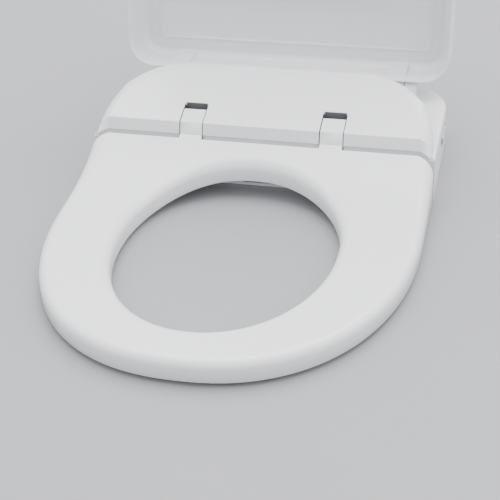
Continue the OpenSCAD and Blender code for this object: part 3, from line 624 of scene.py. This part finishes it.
def hood_front_rows(s):
    """Side-view points up the hood's front: recess, lip, leaning strip, fold."""
    front = -s.hood_front
    lip = s.deck + s.strip_lip
    fold = front + s.strip_lean
    top = s.deck + s.strip_height

    def on_strip(z):
        return front + 0.0018 + (fold - front - 0.0018) * (z - lip) / (top - lip), z

    return ([(front + 0.0035, s.deck), (front + 0.0035, lip - 0.0016), (front + 0.0030, lip - 0.0008),
             (front + 0.0022, lip - 0.0003), on_strip(lip + 0.0004)]
            + [on_strip(lip + (top - lip) * f) for f in (0.12, 0.3, 0.5, 0.7, 0.86, 0.96)]
            + [(fold + 0.0004, hood_height(s, fold + 0.0004) - 0.0001),
               (fold + 0.0016, hood_height(s, fold + 0.0016))])


def hood_loop(s, depth):
    """Outline of the hood moved inwards, as (x, y, height): right front, round the back, left front."""
    w, r, back = s.hood_half - depth, s.hood_corner - depth, s.hood_back - depth
    ahead = nose_reach(s, depth + s.half_width - s.hood_half)

    def forward(y):
        return y - ahead * (1 - blend_step(y, -s.hood_front, -s.hood_front + 0.010))

    right = [(w, forward(y), z) for y, z in hood_front_rows(s)]
    cx, cy = s.hood_half - s.hood_corner, s.hood_back - s.hood_corner
    bend = [(x, forward(y), hood_height(s, y)) for x, y in arc(cx, cy, r, 0.6, 90, 34)]
    top = hood_height(s, back)
    last = [(cx - 2 * cx * i / 24, back, top) for i in range(1, 24)]
    return (right + bend + last + [(-x, y, z) for x, y, z in reversed(bend)]
            + [(-x, y, z) for x, y, z in reversed(right)])


def shoulder_drop(s, depth, y, z):
    """How far the rounded shoulder lies below the hood's top at a depth from its edge."""
    room = min(1.0, max(0.0, z - s.deck) / s.strip_height)
    along = min(1.0, max(0.0, (-0.024 - y) / 0.060)) ** 0.7
    fall = s.shoulder_rear + (s.shoulder_front - s.shoulder_rear) * along
    t = max(0.0, 1 - depth / s.shoulder)
    return room * fall * (0.30 * t + 0.70 * (1 - math.sqrt(1 - t * t)))


def make_hood():
    s = sizes()
    depths = [s.shoulder * (1 - math.sin(math.pi / 2 * k / 12)) for k in range(12, 0, -1)]
    depths += [s.shoulder - 0.0004, s.shoulder, s.shoulder + 0.0004, s.shoulder + 0.003]
    loops = [[(x, y, s.deck) for x, y, z in hood_loop(s, 0)]]
    for depth in depths:
        groove = 0.0004 if depth == s.shoulder else 0.0
        loops.append([(x, y, max(s.deck, z - shoulder_drop(s, depth, y, z) - groove * (z > s.deck + 0.001)))
                      for x, y, z in hood_loop(s, depth)])
    verts, faces = loft(loops, closed=False)
    inner = loops[-1]
    columns = 40
    base = len(verts)
    rows = [[(x0 - 2 * x0 * i / columns, y, z) for i in range(columns + 1)]
            for x0, y, z in inner[:len(hood_front_rows(s)) + 35]]
    across, skin = loft(rows, closed=False)
    verts += across
    faces += [tuple(i + base for i in f) for f in skin]
    hood = object_from("hood_cover", verts, faces, white_gloss(), smooth=35)
    thick = hood.modifiers.new("Wall", "SOLIDIFY")
    thick.thickness = s.wall
    thick.offset = -1
    settle(hood)
    cut(hood, ear_slots(s, s.deck - 0.008))
    tidy(hood, 24)
    rounded(hood, 0.0004, 2, 50)
    shown(hood, "housing", "white_gloss", "hood")

    # Thin sheets inside the ear slots with a near-black finish: painted shade that stands in for the shadow
    # deep in the slots.
    half = s.ear_width / 2 + s.ear_slit - 0.0002
    back = slot_back(s) - 0.0003
    front = -s.hood_front + 0.004
    floor = s.deck + 0.0006
    side_view = ([(front, floor), (back, floor), (back, hood_height(s, back) - 0.0004)]
                 + [(y, hood_height(s, y) - 0.001) for y in (-0.055, -0.065, -0.0775)]
                 + [(front, s.deck + 0.006)])
    parts = []
    for side in (-1, 1):
        x = side * s.ear_x
        verts = [(x - half, y, z) for y, z in side_view] + [(x + half, y, z) for y, z in side_view]
        n = len(side_view)
        parts.append((verts, [tuple(range(n)), tuple(range(2 * n - 1, n - 1, -1)),
                              (0, 1, n + 1, n), (1, 2, n + 2, n + 1)]))
    # The near-black colour is painted shade, not the plastic's own colour.
    shade_sheets = object_from("slot_shade_sheets", *joined(parts), moulded("painted_slot_shade", (0.10, 0.10, 0.11), 0.5), smooth=30)
    shown(shade_sheets, "housing", "white_satin")


def rear_outline(s, depth):
    w, r, back, front = (s.half_width - depth, s.rear_corner - depth, s.rear_reach - depth,
                         -s.hood_front + depth)
    return ([(-w, front), (w, front)] + arc(w - r, back - r, r, 0, 90, 14)
            + arc(r - w, back - r, r, 90, 180, 14))


def make_lower_cover():
    s = sizes()
    lip = 0.0035
    loops = [[(x, y, s.deck - s.wall) for x, y in rear_outline(s, s.wall)],
             [(x, y, s.tray) for x, y in rear_outline(s, s.wall)],
             [(x, y, s.tray) for x, y in rear_outline(s, 0)]]
    for k in range(7):
        a = math.pi / 2 * k / 6
        loops.append([(x, y, s.deck - lip * (1 - math.sin(a)))
                      for x, y in rear_outline(s, lip * (1 - math.cos(a)))])
    cover = object_from("housing_sides", *loft(loops, cap_first=True, cap_last=True),
                        white_gloss(), smooth=35)
    hood = [(x, y) for x, y, z in hood_loop(s, s.wall + 0.002)]
    floor_y = -s.hood_front + s.wall + 0.002
    hood = [(hood[0][0], floor_y)] + [p for p in hood if p[1] > floor_y + 0.003]
    hood.append((-hood[0][0], floor_y))
    front = -s.hood_front
    port = 0.021
    cuts = [slab(hood, s.deck - 0.01, s.deck + 0.01)] + ear_slots(s, s.deck - 0.008)
    cuts += [block(-port, port, front - 0.005, front + 0.005, -0.001, 0.032)]
    cuts += [block(x - 0.012, x + 0.012, front - 0.005, front + 0.005, 0.005, 0.019)
             for x in (-0.042, 0.042)]
    cuts += [block(-0.008, 0.008, front - 0.005, front + 0.005, 0.037, 0.044)]
    low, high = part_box("control_panel")
    cuts.append(block(low.x - 0.002, high.x + 0.004, low.y, high.y, low.z, high.z))
    low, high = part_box("odour_filter_tray")
    cuts.append(block(low.x - 0.004, low.x + 0.006, low.y - 0.0003, high.y + 0.0003,
                      low.z - 0.0003, high.z + 0.0003))
    low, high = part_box("water_inlet")
    cuts.append(moved(turned([(0.0115, -0.006), (0.0115, 0.006)]),
                      Matrix.Translation(((low.x + high.x) / 2, s.rear_reach, (low.z + high.z) / 2))
                      @ Matrix.Rotation(math.pi / 2, 4, "X")))
    cut(cover, cuts)
    tidy(cover, 35)
    rounded(cover, 0.0005, 2, 50)
    shown(cover, "housing", "white_gloss", "lower_cover")


# ---------------------------------------------------------------- lid


def lining_depth(y, f):
    """Depth of the lining's face under the lid's top, less over the hood."""
    return LINING - 0.0055 * blend_step(y, -0.045, -0.015) * min(1, 3 * f)


def make_lid():
    s = sizes()
    outline = u_outline(s, s.lid_rear, s.lid_corner)
    lines = normals(outline)
    soft = 0.015
    loops = []

    def level(depth, height):
        at = inset(outline, lines, depth)
        return [(x, y, height(x, y)) for x, y in at]

    lining = 0.008
    inner_soft = 0.009
    for k in range(7):
        a = math.pi / 2 * k / 6
        depth = s.lid_wall + inner_soft * (1 - math.sin(a))
        drop = lining + inner_soft * (1 - math.cos(a))
        loops.append(level(depth, lambda x, y, d=drop: max(rim_height(s, y) + 0.001, lid_height(s, y) - d)))
    loops.append(level(s.lid_wall, lambda x, y: rim_height(s, y) + 0.0008))
    loops.append(level(s.lid_wall - 0.0008, lambda x, y: rim_height(s, y)))
    loops.append(level(0.0008, lambda x, y: rim_height(s, y)))
    loops.append(level(0.0, lambda x, y: rim_height(s, y) + 0.0008))
    for k in range(9):
        a = math.pi / 2 * k / 8
        loops.append(level(soft * (1 - math.cos(a)), lambda x, y, a=a: max(
            rim_height(s, y) + 0.001, lid_height(s, y) - soft * (1 - math.sin(a)))))
    edge = inset(outline, lines, soft)
    spine = [(0.0, min(0.02, max(-0.30, y))) for x, y in edge]
    for k in range(1, 13):
        f = k / 12
        at = [between(a, b, f) for a, b in zip(edge, spine)]
        loops.append([(x, y, lid_height(s, y)) for x, y in at])
    lid = object_from("lid_cover", *loft(loops), white_gloss(), smooth=50)
    lid.data.transform(opened(s))
    shown(lid, "lid", "white_gloss", "lid_outer_shell")

    panel = []
    base_depth = s.lid_wall + inner_soft
    for step, drop in ((-0.0005, 0.0078), (0.0005, 0.008), (0.010, 0.008),
                       (0.0115, 0.0083), (0.0130, 0.0092), (0.0145, LINING)):
        panel.append(level(base_depth + step, lambda x, y, d=drop: lid_height(s, y) - d))
    edge = [(x, y) for x, y, z in panel[-1]]
    for k in range(1, 13):
        f = k / 12
        at = [between(a, b, f) for a, b in zip(edge, spine)]
        panel.append([(x, y, lid_height(s, y) - lining_depth(y, f)) for x, y in at])
    lining_piece = object_from("lid_lining", *loft(panel), white_satin(), smooth=50)
    lining_piece.data.transform(opened(s))
    shown(lining_piece, "lid", "white_satin", "lid_inner_panel")

    arms = []
    for side in (-1, 1):
        x = side * LID_ARM_X
        hub = moved(turned([(0.0062, -0.010), (0.0085, -0.010), (0.009, -0.0095), (0.009, 0.0095),
                            (0.0085, 0.010), (0.0062, 0.010)]),
                    Matrix.Translation((x, s.lid_axis_y, s.lid_axis_z)) @ TO_SIDE)
        web = prism([(s.lid_rear - 0.012, s.lid_top - 0.004), (s.lid_rear - 0.001, s.lid_top - 0.004),
                     (s.lid_axis_y + 0.002, s.lid_axis_z + 0.008),
                     (s.lid_axis_y - 0.002, s.lid_axis_z - 0.002),
                     (s.lid_rear - 0.004, s.lid_axis_z + 0.004)], 0.0198, x)
        arms += [hub, web]
    arm = object_from("lid_arms", *joined(arms), white_gloss(), smooth=35)
    rounded(arm, 0.0008)
    arm.data.transform(opened(s))
    shown(arm, "lid", "white_gloss", "lid_outer_shell")


def make_buffers():
    s = sizes()
    grip = rubber()
    parts = []
    for x, y in ((0.150, -0.215), (0.086, -0.376)):
        for side in (-1, 1):
            parts.append(moved(turned([(0.0078, 0.0), (0.0086, 0.0005), (0.009, 0.0012), (0.009, 0.004)]),
                               Matrix.Translation((side * x, y, 0))))
    seat = object_from("ring_buffers", *joined(parts), grip, smooth=40)
    shown(seat, "seat", "buffer_rubber", "seat_buffers")
    parts = []
    for x, y in ((0.150, -0.241), (0.080, -0.388)):
        low = ring_height(s, y) + 0.0005
        high = lid_height(s, y - 0.007) - 0.0098
        for side in (-1, 1):
            parts.append(moved(turned([(0.0056, low), (0.0066, low + 0.0005), (0.007, low + 0.0014),
                                       (0.007, high - 0.002), (0.0078, high)]),
                               Matrix.Translation((side * x, y, 0))))
    lid = object_from("lid_bumpers", *joined(parts), grip, smooth=40)
    lid.data.transform(opened(s))
    shown(lid, "lid", "buffer_rubber", "lid_buffers")


# ---------------------------------------------------------------- controls


def plate(low, high, radius, thick):
    """Rounded plate on the right side, with its outer edge softened."""
    def outline(shrink):
        r = radius - shrink
        y0, y1, z0, z1 = low.y + shrink, high.y - shrink, low.z + shrink, high.z - shrink
        return (arc(y1 - r, z1 - r, r, 0, 90, 8) + arc(y0 + r, z1 - r, r, 90, 180, 8)
                + arc(y0 + r, z0 + r, r, 180, 270, 8) + arc(y1 - r, z0 + r, r, 270, 360, 8))
    x = high.x
    loops = [[(at, y, z) for y, z in outline(shrink)]
             for at, shrink in ((x - thick, 0.0003), (x - 0.0006, 0.0003), (x, 0.0006), (x + 0.0003, 0.0012),
                                (x + 0.0003, 0.0022), (x - 0.0001, 0.0026))]
    return loft(loops, cap_first=True, cap_last=True)


def make_controls():
    low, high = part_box("control_panel")
    panel = object_from("keypad_plate", *plate(low, high, 0.006, 0.004), keypad_grey(), smooth=35)
    shown(panel, "housing", "panel_grey", "control_panel")
    finishes = {"stop": dark_plastic(),
                "rear_wash": white_satin(), "front_wash": white_satin(), "dryer": white_satin()}
    for name, mat in finishes.items():
        low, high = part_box(f"{name}_button")
        r = (high.y - low.y) / 2
        middle = (low + high) / 2
        cap = turned([(r - 0.0002, low.x), (r - 0.0002, high.x - 0.0007), (r - 0.0005, high.x - 0.0003),
                      (r - 0.001, high.x), (r * 0.6, high.x - 0.0002), (r * 0.2, high.x - 0.00035)])
        turn = Matrix.Translation((0, middle.y, middle.z)) @ TO_SIDE
        key = object_from(f"{name}_key_cap", *moved(cap, turn), mat, smooth=40)
        slot = "dark_plastic" if name == "stop" else "white_satin"
        shown(key, f"{name}_key", slot, f"{name}_button")
    low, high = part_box("release_button")
    middle = (low + high) / 2
    r = 0.007
    cap = turned([(r + 0.0015, low.x), (r + 0.0015, low.x + 0.0015), (r, low.x + 0.0015),
                  (r, high.x - 0.0008), (r - 0.0008, high.x),
                  (r * 0.7, high.x - 0.0004), (r * 0.3, high.x - 0.0008)])
    turn = Matrix.Translation((0, middle.y, middle.z)) @ TO_SIDE
    key = object_from("release_cap", *moved(cap, turn), white_gloss(), smooth=40)
    shown(key, "release_key", "white_gloss", "release_button")


# ---------------------------------------------------------------- CAD nodes


def finish_nodes():
    """Gives each node that stays visible its own finish."""
    f = finish()
    finishes = {
        "white_gloss": white_gloss(),
        "white_satin": white_satin(),
        "buffer_rubber": rubber(),
        "heating_foil": brushed("heating_foil", (0.55, 0.30, 0.12), 0.4, (1, 30, 1)),
        "board_green": moulded("board_green", (0.01, 0.08, 0.04), 0.4, coat=0.3),
        "steel": brushed("steel", (0.52, 0.52, 0.53), 0.32, (1, 30, 30)),
        "grey_plastic": moulded("grey_plastic", f.grey, 0.5, grain=1800, depth=0.15),
        "dark_plastic": dark_plastic(),
        "nozzle_plastic": moulded("nozzle_plastic", (0.66, 0.68, 0.70), 0.28, coat=0.3),
        "charcoal": moulded("charcoal", (0.012, 0.012, 0.012), 0.9, grain=500, depth=0.9),
        "filter_mesh": moulded("filter_mesh", (0.05, 0.14, 0.30), 0.6, grain=900, depth=0.8),
        "tank_plastic": moulded("tank_plastic", (0.50, 0.50, 0.47), 0.55, grain=900, depth=0.2),
        "hose_rubber": moulded("hose_rubber", (0.28, 0.36, 0.44), 0.5, grain=2000, depth=0.1),
        "lens": glowing("lens", (0.8, 0.8, 0.9), f.glow),
        "panel_grey": keypad_grey(),
    }
    slots = {part["node"]: part["material_slot"] for part in frame["record"]["subparts"]}
    for name, obj in frame["nodes"].items():
        obj.data.materials.clear()
        obj.data.materials.append(finishes[slots[name]])


# ---------------------------------------------------------------- stage


def make_stage():
    size = 6.0
    corners = [(-size, -size), (size, -size), (size, size), (-size, size)]
    floor = object_from("floor", *slab(corners, -0.012, -0.0005),
                        moulded("floor_paint", (0.31, 0.31, 0.32), 0.6, grain=60, depth=0.02, mottle=0.004))
    world = bpy.data.worlds.new("studio")
    bpy.context.scene.world = world
    world.use_nodes = True
    sky = world.node_tree.nodes["Background"]
    sky.inputs["Color"].default_value = (0.95, 0.97, 1.0, 1)
    way = world.node_tree.nodes.new("ShaderNodeTexCoord")
    parts = world.node_tree.nodes.new("ShaderNodeSeparateXYZ")
    fade = world.node_tree.nodes.new("ShaderNodeMapRange")
    for name, value in (("From Min", -0.05), ("From Max", 0.55), ("To Min", 0.10), ("To Max", 2.1)):
        fade.inputs[name].default_value = value
    link(world.node_tree, way.outputs["Generated"], parts.inputs["Vector"])
    link(world.node_tree, parts.outputs["Z"], fade.inputs["Value"])
    link(world.node_tree, fade.outputs["Result"], sky.inputs["Strength"])
    for name, place, aim, size, power in (
            ("overhead", (0.1, 0.5, 2.2), (0, -0.15, 0), 2.4, 84),
            ("right_side", (1.9, 0.1, 0.9), (0, -0.2, 0.05), 1.4, 12),
            ("left_side", (-1.9, 0.4, 1.0), (0, -0.2, 0.05), 1.2, 5)):
        lamp = bpy.data.lights.new(name, "AREA")
        lamp.energy = power
        lamp.size = size
        obj = bpy.data.objects.new(name, lamp)
        obj.location = place
        obj.rotation_euler = (Vector(aim) - Vector(place)).to_track_quat("-Z", "Y").to_euler()
        bpy.context.scene.collection.objects.link(obj)


def make_camera():
    azimuth, elevation, roll = (math.radians(a) for a in (14.4, 32.9, -2.5))
    back = Vector((math.sin(azimuth) * math.cos(elevation), -math.cos(azimuth) * math.cos(elevation),
                   math.sin(elevation)))
    right = Vector((math.cos(azimuth), math.sin(azimuth), 0))
    up = back.cross(right)
    side = math.cos(roll) * right + math.sin(roll) * up
    top = -math.sin(roll) * right + math.cos(roll) * up
    place = Vector((0.0273, -0.253, 0.026)) + 1.177 * back
    lens = bpy.data.cameras.new("view")
    lens.lens = 86.4
    lens.sensor_width = 36
    camera = bpy.data.objects.new("view", lens)
    turn = Matrix((side, top, back)).transposed().to_4x4()
    camera.matrix_world = Matrix.Translation(place) @ turn
    bpy.context.scene.collection.objects.link(camera)
    bpy.context.scene.camera = camera


# ---------------------------------------------------------------- operators


class BIDET_OT_ring(Operator):
    """Build the ring's top cover"""
    bl_idname = "bidet_seat.ring"
    bl_label = "Ring"

    def execute(self, context):
        make_ring()
        return {"FINISHED"}


class BIDET_OT_ears(Operator):
    """Build the two hinge ears of the ring"""
    bl_idname = "bidet_seat.ears"
    bl_label = "Hinge Ears"

    def execute(self, context):
        make_ears()
        return {"FINISHED"}


class BIDET_OT_hood(Operator):
    """Build the sloped hood"""
    bl_idname = "bidet_seat.hood"
    bl_label = "Hood"

    def execute(self, context):
        make_hood()
        return {"FINISHED"}


class BIDET_OT_lower_cover(Operator):
    """Build the housing's side walls and deck"""
    bl_idname = "bidet_seat.lower_cover"
    bl_label = "Housing Sides"

    def execute(self, context):
        make_lower_cover()
        return {"FINISHED"}


class BIDET_OT_lid(Operator):
    """Build the lid, its lining and its arms"""
    bl_idname = "bidet_seat.lid"
    bl_label = "Lid"

    def execute(self, context):
        make_lid()
        return {"FINISHED"}


class BIDET_OT_buffers(Operator):
    """Build the rubber buffers of the ring and the lid"""
    bl_idname = "bidet_seat.buffers"
    bl_label = "Buffers"

    def execute(self, context):
        make_buffers()
        return {"FINISHED"}


class BIDET_OT_controls(Operator):
    """Build the keypad, its keys and the release button"""
    bl_idname = "bidet_seat.controls"
    bl_label = "Controls"

    def execute(self, context):
        make_controls()
        return {"FINISHED"}


class BIDET_OT_finishes(Operator):
    """Give the inner parts their finishes"""
    bl_idname = "bidet_seat.finishes"
    bl_label = "Finishes"

    def execute(self, context):
        finish_nodes()
        return {"FINISHED"}


class BIDET_OT_stage(Operator):
    """Set up the floor, the lights and the camera"""
    bl_idname = "bidet_seat.stage"
    bl_label = "Stage"

    def execute(self, context):
        make_stage()
        make_camera()
        return {"FINISHED"}


STEPS = (BIDET_OT_stage, BIDET_OT_finishes, BIDET_OT_ring, BIDET_OT_ears, BIDET_OT_hood,
         BIDET_OT_lower_cover, BIDET_OT_lid, BIDET_OT_buffers, BIDET_OT_controls)


class BIDET_PT_panel(Panel):
    """Lists the building steps, sizes and colours"""
    bl_idname = "BIDET_PT_panel"
    bl_label = "Bidet Seat"
    bl_space_type = "VIEW_3D"
    bl_region_type = "UI"
    bl_category = "Bidet Seat"

    def draw(self, context):
        for step in STEPS:
            self.layout.operator(step.bl_idname)
        for group in (context.scene.bidet_seat_sizes, context.scene.bidet_seat_finishes):
            for name in group.__annotations__:
                self.layout.prop(group, name)


CLASSES = (BidetSeatSizes, BidetSeatFinishes, *STEPS, BIDET_PT_panel)


def register():
    for cls in CLASSES:
        bpy.utils.register_class(cls)
    bpy.types.Scene.bidet_seat_sizes = PointerProperty(type=BidetSeatSizes)
    bpy.types.Scene.bidet_seat_finishes = PointerProperty(type=BidetSeatFinishes)


def unregister():
    del bpy.types.Scene.bidet_seat_finishes
    del bpy.types.Scene.bidet_seat_sizes
    for cls in reversed(CLASSES):
        bpy.utils.unregister_class(cls)


def main():
    register()
    bpy.ops.bidet_seat.stage()
    bpy.ops.bidet_seat.finishes()
    bpy.ops.bidet_seat.ring()
    bpy.ops.bidet_seat.ears()
    bpy.ops.bidet_seat.hood()
    bpy.ops.bidet_seat.lower_cover()
    bpy.ops.bidet_seat.lid()
    bpy.ops.bidet_seat.buffers()
    bpy.ops.bidet_seat.controls()


if __name__ == "__main__":
    main()
